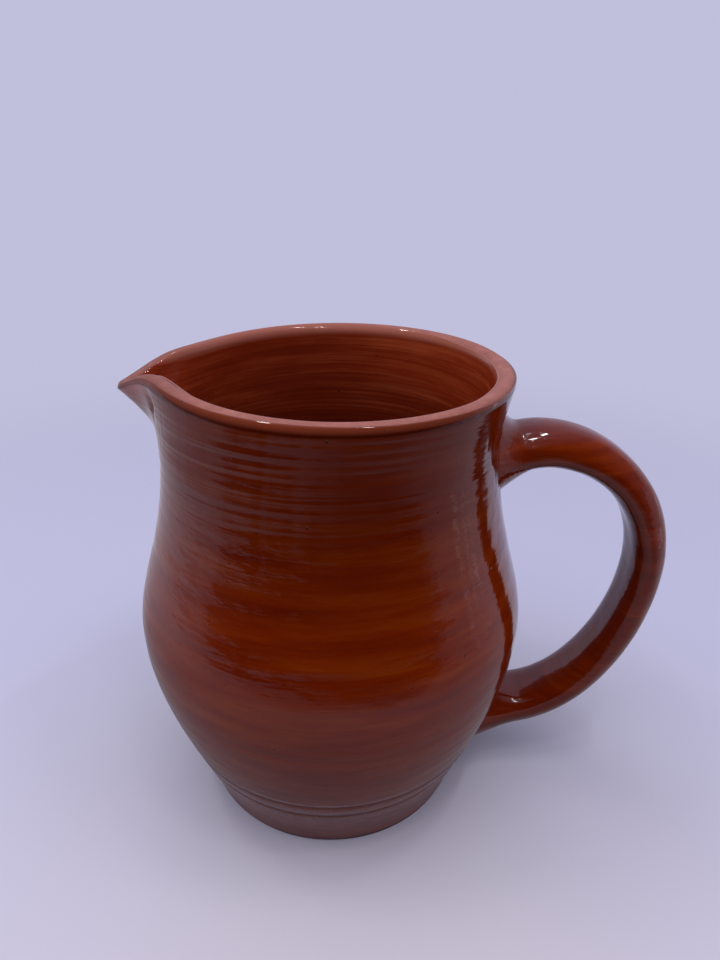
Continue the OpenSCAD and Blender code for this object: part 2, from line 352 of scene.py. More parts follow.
def thrown_relief(t, size, cos, sin, z):
    """Throwing ridges, fine lines near the rim, a slow wobble and the turned grooves at the foot."""
    slant = t.math("MULTIPLY_ADD", sin, THROW_SLANT, z)
    wave = t.noise(t.vector(t.times(cos, 1.0), t.times(sin, 1.0),
                            t.math("DIVIDE", slant, size["Ridge Pitch"])), size["Seed"], 1.0)
    crest = t.math("SQRT", t.math("MULTIPLY_ADD", wave, wave, 0.02))
    broad = t.math("MULTIPLY_ADD", crest, -0.9, t.times(wave, 0.7))
    raised = t.math("MULTIPLY_ADD", t.share(z, size["Ridge Low"], size["Ridge High"]), 0.8, 0.2)
    loud = t.times(raised, t.math("MULTIPLY_ADD", t.share(z, 108 * MM, 130 * MM), -0.6, 1.0))
    fine = t.noise(t.vector(t.times(cos, 0.8), t.times(sin, 0.8),
                            t.math("DIVIDE", slant, size["Line Pitch"])),
                   t.add(size["Seed"], 7.0), 1.0)
    near_rim = t.math("SMOOTH_MIN", t.share(z, size["Line Low"], size["Line High"]), 1.0, 0.1)
    lined = t.math("MULTIPLY_ADD", near_rim, 0.95, 0.05)
    slow = t.noise(t.vector(t.times(cos, 0.7), t.times(sin, 0.7), t.times(z, 16.0)),
                   t.add(size["Seed"], 13.0), 1.0)
    quiet = t.less(1.0, t.share(z, t.less(LIP_Z, 1.5 * MM), LIP_Z))
    grooves = t.add(t.bell(slant, size["Lower Groove"], size["Groove Width"]),
                    t.bell(slant, size["Upper Groove"], size["Groove Width"]))
    return t.add(t.times(broad, size["Ridge Depth"], loud, quiet),
                 t.times(fine, size["Line Depth"], lined, quiet),
                 t.times(slow, size["Wobble"]), t.times(grooves, size["Groove Depth"], -1.0))


def wall_tree():
    """Turns a profile line (x is the radius, z the height) into a thrown, spouted, ridged wall."""
    t = Tree("thrown wall")
    size = {label: t.input(label, "Int" if label == "Columns" else "Float") for label in WALL}
    material = t.input("Material", "Material")

    line, mesh, turn, row = t.sheet(size["Columns"])
    point = t.node("ShaderNodeSeparateXYZ", {0: t.sample(
        line, t.node("GeometryNodeInputPosition").outputs[0], row, "FLOAT_VECTOR")}).outputs
    worked = t.sample(line, t.named("worked"), row)
    over = t.sample(line, t.named("over"), row)
    swell = t.sample(line, t.named("swell"), row)

    full = t.times(turn, 2 * math.pi)
    angle = t.math("MULTIPLY_ADD", t.math("SINE", full), CROWDING, full)
    cos, sin = t.math("COSINE", angle), t.math("SINE", angle)
    away = t.times(t.less(angle, math.pi), 180 / math.pi)
    off = t.math("ABSOLUTE", away)

    radius, height = over_the_lip(t, size, point, over, swell, angle)
    r, z = spout(t, size, radius, height, off)
    relief = t.add(thrown_relief(t, size, cos, sin, z), handling_marks(t, size, away, off, z))
    r = t.math("MULTIPLY_ADD", relief, worked, r)
    upright = t.math("POWER", t.share(z, LEAN_Z, HEIGHT), LEAN_POWER)
    x = t.math("MULTIPLY_ADD", r, cos, t.times(size["Rim Lean"], upright))
    t.finish(mesh, t.vector(x, t.times(r, sin), z), material)
    return t


def spaced(low, high, step):
    """Even places from low to high, about a step apart."""
    count = max(2, round((high - low) / step))
    return [low + (high - low) * i / count for i in range(count + 1)]


def lip_point(over, swell):
    """A point over the rounded lip, over degrees round from its outer side."""
    return (LIP_MIDDLE + (LIP_HALF + swell) * math.cos(math.radians(over)), 0.0,
            LIP_Z + (LIP + swell) * math.sin(math.radians(over)))


class Outline:
    """A profile line that grows point by point; the wall tree reads what each point carries."""

    def __init__(self):
        self.points, self.worked, self.over, self.swell = [], [], [], []

    def add(self, point, worked=1.0, over=0.0, swell=0.0):
        self.points.append(point)
        self.worked.append(worked)
        self.over.append(math.radians(over))
        self.swell.append(swell)

    def lip(self, over, swell, wanders=True):
        """A point of a coat on the lip: over is counted up from the nearer side of the lip."""
        counted = over if over < 90 else 180 - over
        self.add(lip_point(over, swell), 1.0, counted if wanders else 0.0, swell)

    def closed(self):
        self.add(self.points[0], self.worked[0])
        return self

    def data(self):
        return self.points, {"worked": self.worked, "over": self.over, "swell": self.swell}


def outside_profile():
    """Closed outline of the outside coat: up its face, over the shoulder of the lip, down its back."""
    o = Outline()
    # The rows stand closest where the grooves are, and close where the fine lines are
    for z in (spaced(GLAZE_FOOT, 36 * MM, 0.35 * MM) + spaced(36 * MM, 126 * MM, 0.8 * MM)[1:]
              + spaced(126 * MM, LIP_Z, 0.4 * MM)[1:]):
        o.add((outer_r(z) + GLAZE, 0.0, z))
    # The coat swells to a bead and rolls in at its edge; the second number is its thickness in coats
    for over, swell in ((5, 1.0), (10, 1.0), (15, 1.0), (19, 1.05), (22, 1.2), (25, 1.4), (27, 1.5),
                        (29, 1.4), (30.5, 1.1), (31.5, 0.6), (32, 0.0), (31, -1.0)):
        o.lip(over, swell * GLAZE)
    for z in reversed(spaced(GLAZE_FOOT, LIP_Z, 6 * MM)):
        o.add((outer_r(z) - GLAZE, 0.0, z))
    o.add((outer_r(GLAZE_FOOT) + 0.6 * GLAZE, 0.0, GLAZE_FOOT - 0.3 * MM))
    return o.closed().data()


def liner_profile():
    """Closed outline of the inside coat: from the lip's inner shoulder down and across the floor."""
    o = Outline()
    for over, swell in ((148, 0.0), (149, 0.6), (150.5, 1.1), (152, 1.3), (155, 1.2), (160, 1.0),
                        (166, 1.0), (173, 1.0)):
        o.lip(over, swell * GLAZE)
    for z in reversed(spaced(FLOOR_Z + 8 * MM, 120 * MM, 1.2 * MM)
                      + spaced(120 * MM, LIP_Z, 0.6 * MM)[1:]):
        o.add((inner_r(z) - GLAZE, 0.0, z))
    low_r, low_z = o.points[-1][0], o.points[-1][2]
    flat_r, corner_steps, floor_steps = 34 * MM, 9, 12
    for i in range(1, corner_steps):
        s = i / corner_steps
        o.add((low_r + (flat_r - low_r) * s, 0.0,
               FLOOR_Z + GLAZE + (low_z - FLOOR_Z - GLAZE) * (1 - s) ** 2))
    for i in range(floor_steps + 1):
        o.add((flat_r * (1 - i / floor_steps), 0.0, FLOOR_Z + GLAZE))
    for r in (0.0, flat_r):
        o.add((r, 0.0, FLOOR_Z - GLAZE))
    for z in spaced(FLOOR_Z + 8 * MM, LIP_Z, 6 * MM):
        o.add((inner_r(z) + GLAZE, 0.0, z))
    o.lip(150, -GLAZE)
    return o.closed().data()


def clay_profile():
    """Outline of the clay pot, from the middle of its foot round to the middle of its floor."""
    o = Outline()
    flat, foot_steps = outer_r(2 * MM) - FOOT_BEVEL, 10
    for i in range(foot_steps + 1):
        o.add((flat * i / foot_steps, 0.0, 0.0), 0.0)
    for b in (20, 40, 60, 80):
        o.add((flat + FOOT_BEVEL * math.sin(math.radians(b)), 0.0,
               FOOT_BEVEL * (1 - math.cos(math.radians(b)))), 0.0)
    for z in (2 * MM, 2.6 * MM):
        o.add((outer_r(z), 0.0, z))
    for z in spaced(5 * MM, LIP_Z - 4 * MM, 5 * MM):
        o.add((outer_r(z) - CLAY_INSET, 0.0, z))
    for over in spaced(-12, 192, 4):
        o.lip(over, 0.0, False)
    for z in reversed(spaced(FLOOR_Z + 8 * MM, LIP_Z - 4 * MM, 5 * MM)):
        o.add((inner_r(z) + CLAY_INSET, 0.0, z))
    for r in (30 * MM, 0.0):
        o.add((r, 0.0, FLOOR_Z - CLAY_INSET))
    return o.data()


# ---------------------------------------------------------------- The strap

STRAP_T = 13.8 * MM                 # least thickness of the strap
ROOT_T = 5 * MM                     # extra thickness at its ends
STRAP_W = 20 * MM
ROOT_W = 3 * MM
REACH = STRAP_BOX[1].x - STRAP_T / 2
UPPER_END = 0.2                     # where the luting ends on the upper curve, which runs from 0 to 1
LOWER_END = 1.8                     # and on the lower curve, which runs from 1 to 2
FILLET = 6 * MM
SMEAR = 12 * MM                     # how far the luting is smeared up under the rim
UNDER = 3.5 * MM                    # how far it is smeared down below the strap
UPPER_CURVE = [(52 * MM, 124 * MM), (68 * MM, 145 * MM), (REACH, 127 * MM), (REACH, 88 * MM)]
LOWER_CURVE = [(REACH, 88 * MM), (REACH, 56 * MM), (88.5 * MM, 15 * MM), (52 * MM, 26 * MM)]


def bezier(p, t):
    """Place and direction at t on the curve with the four points p."""
    p = [Vector(q) for q in p]
    place = ((1 - t) ** 3 * p[0] + 3 * t * (1 - t) ** 2 * p[1] + 3 * t * t * (1 - t) * p[2]
             + t ** 3 * p[3])
    slope = ((1 - t) ** 2 * (p[1] - p[0]) + 2 * t * (1 - t) * (p[2] - p[1])
             + t * t * (p[3] - p[2]))
    return place, slope.normalized()


def strap_at(u):
    """Centre, direction, half thickness and half width of the strap; u runs from 0 to 2."""
    place, slope = bezier(UPPER_CURVE, u) if u < 1 else bezier(LOWER_CURVE, u - 1)
    end = (u - 1) ** 2
    return place, slope, (STRAP_T + ROOT_T * end) / 2, (STRAP_W + ROOT_W * end) / 2


def wall_x(z):
    """Where the pot's outside stands at height z, on the strap's side."""
    return outer_r(z) + lean_at(z)


def root_rows(u, inset, rise, under, steps=14, buried=1.6 * MM):
    """Rings from the wall out to the strap's end at u, opened out where they meet the wall."""
    place, slope, depth, side = strap_at(u)
    back = slope if u > 1 else -slope
    gap = 0.0
    for _ in range(6):
        here = place + back * gap
        gap += (here.x - wall_x(here.y)) / abs(back.x)
    up = 1 if u < 1 else -1
    rise_z = (wall_x(here.y + 3 * MM) - wall_x(here.y - 3 * MM)) / (6 * MM)
    along_wall = Vector((rise_z, 1.0)).normalized() * up
    across = Vector((-slope.y, slope.x))
    rows = []
    for i in range(steps + 1):
        s = i / steps
        out = (gap + buried) * s - buried
        t = max(out / gap, 0.0)
        flare = (1 - t) ** 2
        extra = (rise - under) / 2
        centre = place + back * (gap - out) + along_wall * flare * extra
        normal = (across * t + along_wall * (1 - t)).normalized()
        rows.append((centre, normal, depth + flare * (under + extra) - inset,
                     side + flare * FILLET - inset, 1 - t))
    return rows


def strap_rows(inset, steps=72):
    """Rings along the strap between its two lutings."""
    rows = []
    for i in range(steps + 1):
        u = UPPER_END + (LOWER_END - UPPER_END) * i / steps
        place, slope, depth, side = strap_at(u)
        rows.append((place, Vector((-slope.y, slope.x)), depth - inset, side - inset, 0.0))
    return rows


def strap_line(name, rows):
    """The rows' centre line, with the size and the lie of the ring at each point; its ends close."""
    first, last = rows[0], rows[-1]
    rows = [first[:2] + (0.0, 0.0) + first[4:]] + rows + [last[:2] + (0.0, 0.0) + last[4:]]
    points = [(r[0].x, 0.0, r[0].y) for r in rows]
    return line_object(name, points, {
        "lie": [(r[1].x, 0.0, r[1].y) for r in rows], "depth": [r[2] for r in rows],
        "side": [r[3] for r in rows], "hug": [r[4] for r in rows]})


def strap_tree():
    """Sweeps a rounded strap section along a line and lets its ends hug the round wall."""
    t = Tree("pulled strap")
    columns = t.input("Columns", "Int")
    flat = t.input("Inner Flatness")
    ripple = t.input("Ripple Depth")
    facet = t.input("Facet Depth")
    wall_radius = t.input("Wall Radius")
    seed = t.input("Seed")
    material = t.input("Material", "Material")
    line, mesh, turn, row = t.sheet(columns)
    centre = t.sample(line, t.node("GeometryNodeInputPosition").outputs[0], row, "FLOAT_VECTOR")
    lie = t.sample(line, t.named("lie", "FLOAT_VECTOR"), row, "FLOAT_VECTOR")
    depth = t.sample(line, t.named("depth"), row)
    side = t.sample(line, t.named("side"), row)
    hug = t.sample(line, t.named("hug"), row)
    angle = t.times(turn, 2 * math.pi)
    cos, sin = t.math("COSINE", angle), t.math("SINE", angle)

    # The inner half of the section is flatter and squarer than the outer half
    inner = t.times(t.math("MINIMUM", sin, 0.0), t.less(1.0, hug))
    shape = t.math("MULTIPLY_ADD", t.times(inner, inner), flat, sin)
    broad = t.math("MULTIPLY_ADD", t.times(inner, inner, t.less(1.0, t.times(inner, inner))),
                   t.times(flat, 0.9), 1.0)
    place = t.node("ShaderNodeSeparateXYZ", {0: centre})
    rough = t.noise(t.vector(t.times(place.outputs[0], 45.0), t.times(cos, 0.9),
                             t.math("MULTIPLY_ADD", place.outputs[2], 45.0, t.times(sin, 0.9))), seed)
    pressed = t.times(t.math("COSINE", t.math("MULTIPLY_ADD", angle, 6.0, t.times(rough, 0.5))),
                      facet)
    uneven = t.math("MULTIPLY_ADD", rough, ripple, pressed)
    out = t.math("MULTIPLY_ADD", uneven, sin, t.times(depth, shape))
    wide = t.times(t.math("MULTIPLY_ADD", side, broad, uneven), cos)
    lie_xyz = t.node("ShaderNodeSeparateXYZ", {0: lie})
    curl = t.math("DIVIDE", t.times(hug, wide, wide, 0.5), wall_radius)
    x = t.less(t.math("MULTIPLY_ADD", lie_xyz.outputs[0], out, place.outputs[0]), curl)
    z = t.math("MULTIPLY_ADD", lie_xyz.outputs[2], out, place.outputs[2])
    t.finish(mesh, t.vector(x, wide, z), material)
    return t


# ---------------------------------------------------------------- Materials


class Paint(Tree):
    """A material or a shader group that is being built."""

    def __init__(self, tree):
        self.group = tree

    def ramp(self, factor, stops):
        made = self.node("ShaderNodeValToRGB", {0: factor})
        ramp = made.color_ramp
        while len(ramp.elements) < len(stops):
            ramp.elements.new(0.5)
        for element, (place, colour) in zip(ramp.elements, stops):
            element.position = place
            element.color = (*colour, 1.0)
        return made.outputs[0]

    def mix(self, factor, a, b):
        made = self.node("ShaderNodeMix", data_type="RGBA")
        colours = [s for s in made.inputs if s.type == "RGBA"]
        self.put(made.inputs[0], factor)
        for socket, value in zip(colours, (a, b)):
            self.put(socket, (*value, 1.0) if isinstance(value, tuple) else value)
        return [s for s in made.outputs if s.type == "RGBA"][0]

    def scaled(self, vector, x, y, z):
        made = self.node("ShaderNodeVectorMath", {0: vector, 1: (x, y, z)}, operation="MULTIPLY")
        return made.outputs[0]

    def texture(self, vector, scale, detail=3.0, roughness=0.5):
        made = self.node("ShaderNodeTexNoise", {"Vector": vector, "Scale": scale, "Detail": detail,
                                                "Roughness": roughness})
        return made.outputs[0]


def shader_group(name, inputs, outputs):
    """A new shader node group; gives its paint, its input sockets and a call that sets its outputs."""
    group = bpy.data.node_groups.new(name, "ShaderNodeTree")
    for label, kind in inputs.items():
        group.interface.new_socket(label, in_out="INPUT", socket_type="NodeSocket" + kind)
    for label, kind in outputs.items():
        group.interface.new_socket(label, in_out="OUTPUT", socket_type="NodeSocket" + kind)
    p = Paint(group)
    start, end = group.nodes.new("NodeGroupInput"), group.nodes.new("NodeGroupOutput")

    def give(label, value):
        p.put(end.inputs[label], value)
    return p, start.outputs, give


def lines_group():
    """Long, fine marks round the pot, as a throwing rib leaves them."""
    p, start, give = shader_group("throwing lines", {"Vector": "Vector", "Pitch": "Float"},
                                  {"Height": "Float", "Streak": "Float"})
    per = p.math("DIVIDE", 1.0, start["Pitch"])
    tall = p.node("ShaderNodeCombineXYZ", {0: 14.0, 1: 14.0, 2: per}).outputs[0]
    fine = p.node("ShaderNodeVectorMath", {0: start["Vector"], 1: tall}, operation="MULTIPLY")
    slow = p.scaled(start["Vector"], 20.0, 20.0, 140.0)
    give("Height", p.texture(fine.outputs[0], 1.0, 4.0, 0.65))
    give("Streak", p.texture(slow, 1.0, 4.0, 0.6))
    return p.group


def specks_group():
    """Small scattered spots of uneven size: pinholes, iron specks or glints."""
    p, start, give = shader_group("specks", {"Vector": "Vector", "Spacing": "Float", "Size": "Float",
                                             "Share": "Float"}, {"Mask": "Float"})
    cells = p.node("ShaderNodeTexVoronoi", {"Vector": start["Vector"],
                                            "Scale": p.math("DIVIDE", 1.0, start["Spacing"])})
    pick = p.node("ShaderNodeSeparateColor", {0: cells.outputs["Color"]})
    chosen = p.math("LESS_THAN", pick.outputs[0], start["Share"])
    size = p.times(start["Size"], p.math("MULTIPLY_ADD", pick.outputs[1], 0.8, 0.4))
    near = p.math("SUBTRACT", 1.0, p.math("DIVIDE", cells.outputs["Distance"], size), clamp=True)
    give("Mask", p.times(p.math("MULTIPLY", near, 2.5, clamp=True), chosen))
    return p.group


def grain_group():
    """The sandy grain of bare, fired clay: its colour and its height."""
    p, start, give = shader_group("clay grain", {"Vector": "Vector"},
                                  {"Color": "Color", "Height": "Float"})
    mottle = p.texture(start["Vector"], 260.0, 5.0, 0.65)
    patch = p.texture(start["Vector"], 60.0, 3.0)
    grain = p.texture(start["Vector"], 1800.0, 2.0)
    base = p.ramp(mottle, [(0.3, (0.14, 0.043, 0.032)), (0.55, (0.18, 0.06, 0.047)),
                           (0.8, (0.25, 0.10, 0.08))])
    give("Color", p.mix(p.math("MULTIPLY", patch, 0.5), base, (0.17, 0.065, 0.052)))
    give("Height", p.add(p.times(mottle, 0.6), p.times(grain, 0.4)))
    return p.group


LINES = lines_group()
SPECKS = specks_group()
GRAIN = grain_group()


class Material(Paint):
    """A material with a Principled shader; its uniform numbers are set on the shader itself."""

    def __init__(self, name, **uniform):
        made = bpy.data.materials.new(name)
        made.use_nodes = True
        self.group = made.node_tree
        self.material = made
        self.shader = self.group.nodes["Principled BSDF"]
        for label, value in uniform.items():
            self.shader.inputs[label.replace("_", " ")].default_value = value
        self.place = self.node("ShaderNodeTexCoord").outputs["Object"]

    def use(self, group, **values):
        made = self.node("ShaderNodeGroup", node_tree=group)
        for label, value in values.items():
            self.put(made.inputs[label], value)
        return made.outputs

    def surface(self, colour, roughness, height, distance):
        self.put(self.shader.inputs["Base Color"], colour)
        self.put(self.shader.inputs["Roughness"], roughness)
        bump = self.node("ShaderNodeBump", {"Strength": 1.0, "Distance": distance, "Height": height})
        self.put(self.shader.inputs["Normal"], bump.outputs[0])
        return self.material


def darker(colour, share):
    """The given share of a colour's light."""
    return tuple(share * c for c in colour)


def bare_clay():
    """Fired clay without a coat, filmed brown at the spout's tip, with painted shade darkening it
    towards the foot.
    """
    m = Material("bare terracotta", Specular_IOR_Level=0.25)
    grain = m.use(GRAIN, Vector=m.place)
    sand = m.use(SPECKS, Vector=m.place, Spacing=1.4 * MM, Size=0.16, Share=0.2)["Mask"]
    colour = m.mix(m.times(sand, 0.6), grain["Color"], (0.34, 0.21, 0.17))
    from_tip = m.node("ShaderNodeVectorMath", {0: m.place, 1: (POT_BOX[0].x, 0.0, HEIGHT)},
                      operation="DISTANCE").outputs["Value"]
    filmed = m.less(1.0, m.share(from_tip, 22 * MM, 52 * MM))
    colour = m.mix(m.times(filmed, 0.5), colour, (0.09, 0.03, 0.026))
    up = m.node("ShaderNodeSeparateXYZ", {0: m.place}).outputs[2]
    # Painted shade: the clay darkens towards the bottom of the foot, where the pot stands on the table.
    colour = m.mix(m.share(up, 8 * MM, 3 * MM), colour, (0.04, 0.012, 0.01))
    roughness = m.math("MULTIPLY_ADD", grain["Height"], 0.3, 0.38)
    return m.surface(colour, roughness, grain["Height"], 0.12 * MM)


THIN = (0.27, 0.085, 0.075)         # clay showing pink through a thin coat
POOL_DARK, POOL_LIGHT = (0.035, 0.005, 0.002), (0.105, 0.021, 0.009)
FLECK = (0.20, 0.06, 0.018)
PINHOLE = (0.02, 0.004, 0.002)
INSIDE_LIP = (0.17, 0.05, 0.033)


def lip_marks(m, colour, deep, amber, streak, ragged):
    """The coat's edge under the lip, which dips at the spout: thin beside it and pooled along it.

    Gives the colour, and where the coat is thin.
    """
    x, y, up = m.node("ShaderNodeSeparateXYZ", {0: m.place}).outputs
    off = m.math("ABSOLUTE", m.times(m.math("ARCTAN2", y, m.times(x, -1.0)), 180 / math.pi))
    lip_here = m.math("MULTIPLY_ADD", m.bell(off, 0.0, DIP_WIDTH), -TIP_DIP, LIP_Z)
    under_lip = m.less(lip_here, up)
    covered = m.share(m.add(under_lip, m.times(ragged, 8 * MM)), 1 * MM, 7 * MM)
    bare = m.times(m.bell(off, 9.0, 10.0), m.less(1.0, covered))
    colour = m.mix(m.times(bare, 0.8 * amber), colour, THIN)
    pooled = m.share(m.less(m.times(m.less(streak, 0.5), 3 * MM), under_lip), 0.1 * MM, 0.8 * MM)
    honey = m.mix(m.share(under_lip, -0.2 * MM, -2.2 * MM), POOL_DARK, POOL_LIGHT)
    colour = m.mix(m.times(pooled, amber), colour, honey)
    shadowed = m.bell(under_lip, -0.2 * MM, 0.6 * MM)
    return m.mix(m.times(shadowed, 0.8 * amber), colour, darker(deep, 0.3)), bare


def smeared_root(m, ragged):
    """Where the strap was smeared on, and the flecks in the thick coat there."""
    from_root = m.node("ShaderNodeVectorMath", {0: m.place, 1: ROOT_MARK},
                       operation="DISTANCE").outputs["Value"]
    root = m.less(1.0, m.share(m.add(from_root, m.times(ragged, 30 * MM)), 16 * MM, 22 * MM))
    fleck = m.share(m.texture(m.scaled(m.place, 1.0, 1.0, 0.35), 420.0, 4.0, 0.7), 0.54, 0.66)
    return root, fleck


def glaze(name, deep, warm, pale, sheen, line_pitch, amber=0.0, worn=0.0):
    """Transparent brown glass over red clay: darker where it is thick, warmer where it is thin.

    amber is how much honey brown pools along the lip; only the outside coat has any, and the painted
    shade high on its wall, round the strap's upper root and in the foot grooves goes with it. worn is
    how dull the coat gets at the foot.
    """
    m = Material(name, IOR=1.5)
    lines = m.use(LINES, Vector=m.place, Pitch=line_pitch)
    pits = m.use(SPECKS, Vector=m.place, Spacing=5 * MM, Size=0.10, Share=0.3)["Mask"]
    scuff = m.texture(m.scaled(m.place, 1.0, 1.0, 3.0), 90.0, 5.0, 0.7)
    ragged = m.less(scuff, 0.5)
    root, fleck = smeared_root(m, ragged)
    _, y, up = m.node("ShaderNodeSeparateXYZ", {0: m.place}).outputs
    fine = 0.25 if amber else 0.5
    thin = m.math("MULTIPLY_ADD", lines["Height"], fine, m.times(lines["Streak"], 1.0 - fine))
    colour = m.ramp(thin, [(0.25, deep), (0.5, warm), (0.78, pale)])
    dull = m.times(m.less(1.0, m.share(up, 6 * MM, 62 * MM)), worn)
    roughness = m.add(m.math("MULTIPLY_ADD", m.math("POWER", scuff, 4.0), 0.22, sheen), dull)
    if amber:
        # Painted shade: the outside coat is darkened more and more from 100 mm up to 132 mm, and fully
        # above.
        neck_shade = m.times(m.share(up, 100 * MM, 132 * MM), 0.45)
        colour = m.mix(neck_shade, colour, darker(deep, 0.4))
        colour, bare = lip_marks(m, colour, deep, amber, lines["Streak"], ragged)
        roughness = m.add(roughness, m.times(bare, 0.2 * amber))
        # Painted shade: the outside coat is darkened round the strap's upper root.
        colour = m.mix(m.times(root, 0.75), colour, darker(deep, 0.3))
        colour = m.mix(m.times(root, fleck, 0.8), colour, FLECK)
        # Painted shade: the outside coat is darkened along the two turned grooves at the foot.
        level = m.math("MULTIPLY_ADD", y, THROW_SLANT / RIM_R, up)
        groove_shade = m.add(m.bell(level, LOWER_GROOVE, 1.3 * MM), m.bell(level, UPPER_GROOVE, 1.3 * MM))
        colour = m.mix(m.times(groove_shade, 0.45), colour, darker(deep, 0.35))
    else:
        colour = m.mix(m.share(up, LIP_Z - 1 * MM, LIP_Z + 1 * MM), colour, INSIDE_LIP)
    colour = m.mix(m.times(pits, 0.8), colour, PINHOLE)

    # The coat lies unevenly lower down, follows the brushed clay, and is thick at the smeared root
    lie = m.times(m.texture(m.scaled(m.place, 1.0, 1.0, 2.2), 110.0, 3.0, 0.45),
                  m.math("MULTIPLY_ADD", m.share(up, 118 * MM, 138 * MM), -3.2, 3.6))
    brushed = m.math("MULTIPLY_ADD", m.share(up, 30 * MM, 60 * MM), 0.6, 0.1)
    peel = m.texture(m.place, 420.0, 2.0)
    height = m.add(m.times(lines["Height"], brushed), m.times(peel, 0.25), m.times(pits, -1.0),
                   m.times(root, fleck, 0.9), lie)
    return m.surface(colour, roughness, height, 0.06 * MM)


CLAY = bare_clay()
OUTSIDE = glaze("outside glaze", (0.055, 0.003, 0.0002), (0.088, 0.008, 0.0004),
                (0.13, 0.020, 0.001), 0.01, 1.1 * MM, 0.85, 0.32)
INSIDE = glaze("liner glaze", (0.06, 0.004, 0.001), (0.12, 0.0125, 0.0035),
               (0.23, 0.045, 0.014), 0.06, 1.4 * MM)
STRAP = glaze("strap glaze", (0.045, 0.003, 0.0002), (0.075, 0.006, 0.0004),
              (0.13, 0.017, 0.0015), 0.03, 3 * MM)

# ---------------------------------------------------------------- Pieces


def finished(piece, node):
    """Hangs a piece on the pot's body and hides the CAD node that it stands for."""
    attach(piece, "root")
    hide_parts(node)


def wall_piece(name, profile, material, changes):
    """A turned piece of the wall, from its profile and what differs from the outside coat."""
    points, attributes = profile
    obj = line_object(name, points, attributes)
    return grow(obj, thrown, {**WALL, **changes, "Material": material})


thrown = wall_tree()
clay_pot = wall_piece("thrown_clay_pot", clay_profile(), CLAY,
                      {"Line Depth": 0.0, "Smear Depth": 0.0})
outside = wall_piece("outside_glaze", outside_profile(), OUTSIDE, {})
liner = wall_piece("liner_glaze_coat", liner_profile(), INSIDE,
                   {"Groove Depth": 0.0, "Seed": 21.0, "Ridge Pitch": 11 * MM, "Ridge Low": 0.0,
                    "Ridge High": 20 * MM, "Line Low": 0.0, "Line High": 20 * MM,
                    "Pinch Depth": 0.0, "Smear Depth": 0.0, "Edge Rise": 1.7, "Edge Turn": 125.0})
finished(clay_pot, "thrown_body")
finished(outside, "body_glaze")
finished(liner, "liner_glaze")

pulled = strap_tree()
BEND = {"Columns": 64, "Inner Flatness": 0.28, "Ripple Depth": 0.2 * MM, "Facet Depth": 0.12 * MM,
        "Wall Radius": outer_r(125 * MM), "Seed": 5.0}


def strap_piece(name, rows, material):
    """A piece of the strap or of its luting, swept through the rows."""
    return grow(strap_line(name, rows), pulled, {**BEND, "Material": material})


def upper_rows(inset):
    """Rings of the upper luting, from the wall to the strap."""
    return root_rows(UPPER_END, inset, SMEAR, UNDER)


def lower_rows(inset):
    """Rings of the lower luting, from the strap to the wall."""
    return root_rows(LOWER_END, inset, FILLET, FILLET)[::-1]


strap_coat = strap_piece("strap_glaze", upper_rows(-GLAZE)[:-1] + strap_rows(-GLAZE)
                         + lower_rows(-GLAZE)[1:], STRAP)
strap_clay = strap_piece("strap", strap_rows(CLAY_INSET), CLAY)
upper_luting = strap_piece("upper_luting", upper_rows(CLAY_INSET), CLAY)
lower_luting = strap_piece("lower_luting", lower_rows(CLAY_INSET), CLAY)
finished(strap_coat, "handle_glaze")
finished(strap_clay, "handle")
finished(upper_luting, "upper_slip_joint")
finished(lower_luting, "lower_slip_joint")

# ---------------------------------------------------------------- Floor, light and camera


BACKDROP = (0.53, 0.525, 0.715)      # pale lavender paper behind and around the pot
FLOOR_NEAR, FLOOR_FAR = (0.345, 0.32, 0.365), (0.305, 0.302, 0.393)
FLOOR_MIDDLE = (0.02, -0.12, 0.0)   # the warmest place of the floor, in front of the pot


def glow(m, colour, strength=1.0):
    """The output of a plain emission shader."""
    return m.node("ShaderNodeEmission", {"Color": (*colour, 1.0), "Strength": strength}).outputs[0]


def floor_material():
    """Pale table that runs on into the backdrop without a line; painted light tints it warmer in front
    of the pot and cooler and dimmer further off.
    """
    m = Material("pale floor", Specular_IOR_Level=0.2)
    from_middle = m.node("ShaderNodeVectorMath", {0: m.place, 1: FLOOR_MIDDLE},
                         operation="DISTANCE").outputs["Value"]
    # Painted light: the floor's colour runs from warmer in front of the pot to cooler and dimmer
    # further off.
    colour = m.mix(m.share(from_middle, 0.05, 0.25), FLOOR_NEAR, FLOOR_FAR)
    m.surface(colour, 0.6, m.texture(m.place, 400.0), 0.02 * MM)
    away = m.node("ShaderNodeVectorMath", {0: m.place}, operation="LENGTH").outputs["Value"]
    far = m.share(away, 0.2, 0.56)
    fade = m.times(far, far, m.less(3.0, m.times(far, 2.0)))
    blend = m.node("ShaderNodeMixShader", {0: fade, 1: m.shader.outputs[0], 2: glow(m, BACKDROP)})
    m.put(m.group.nodes["Material Output"].inputs["Surface"], blend.outputs[0])
    return m.material


def stage_object(name, points, faces, material):
    """A mesh that stands round the pot and isn't part of it."""
    mesh = bpy.data.meshes.new(name)
    mesh.from_pydata(points, [], faces)
    mesh.materials.append(material)
    made = bpy.data.objects.new(name, mesh)
    bpy.context.scene.collection.objects.link(made)
    return made


FLOOR_R, FLOOR_CORNERS = 12.0, 96
stage_object("floor", [(FLOOR_R * math.cos(a), FLOOR_R * math.sin(a), 0.0)
                       for a in np.linspace(0, 2 * math.pi, FLOOR_CORNERS, endpoint=False)],
             [list(range(FLOOR_CORNERS))], floor_material())

# A card round the front and the sides stands for the room that the glaze mirrors: a table from
# CARD_START out to TABLE_EDGE, a wall from there up to WALL_TOP, and a crown that leans in overhead.
CARD_START, TABLE_EDGE, WALL_TOP = 0.055, 0.42, 0.6
CROWN = [(0.3, 0.74), (0.14, 0.8)]  # radius and height of the crown's rings
CARD_LEFT, CARD_RIGHT = 150, 120    # how far the card reaches round from the front, in degrees


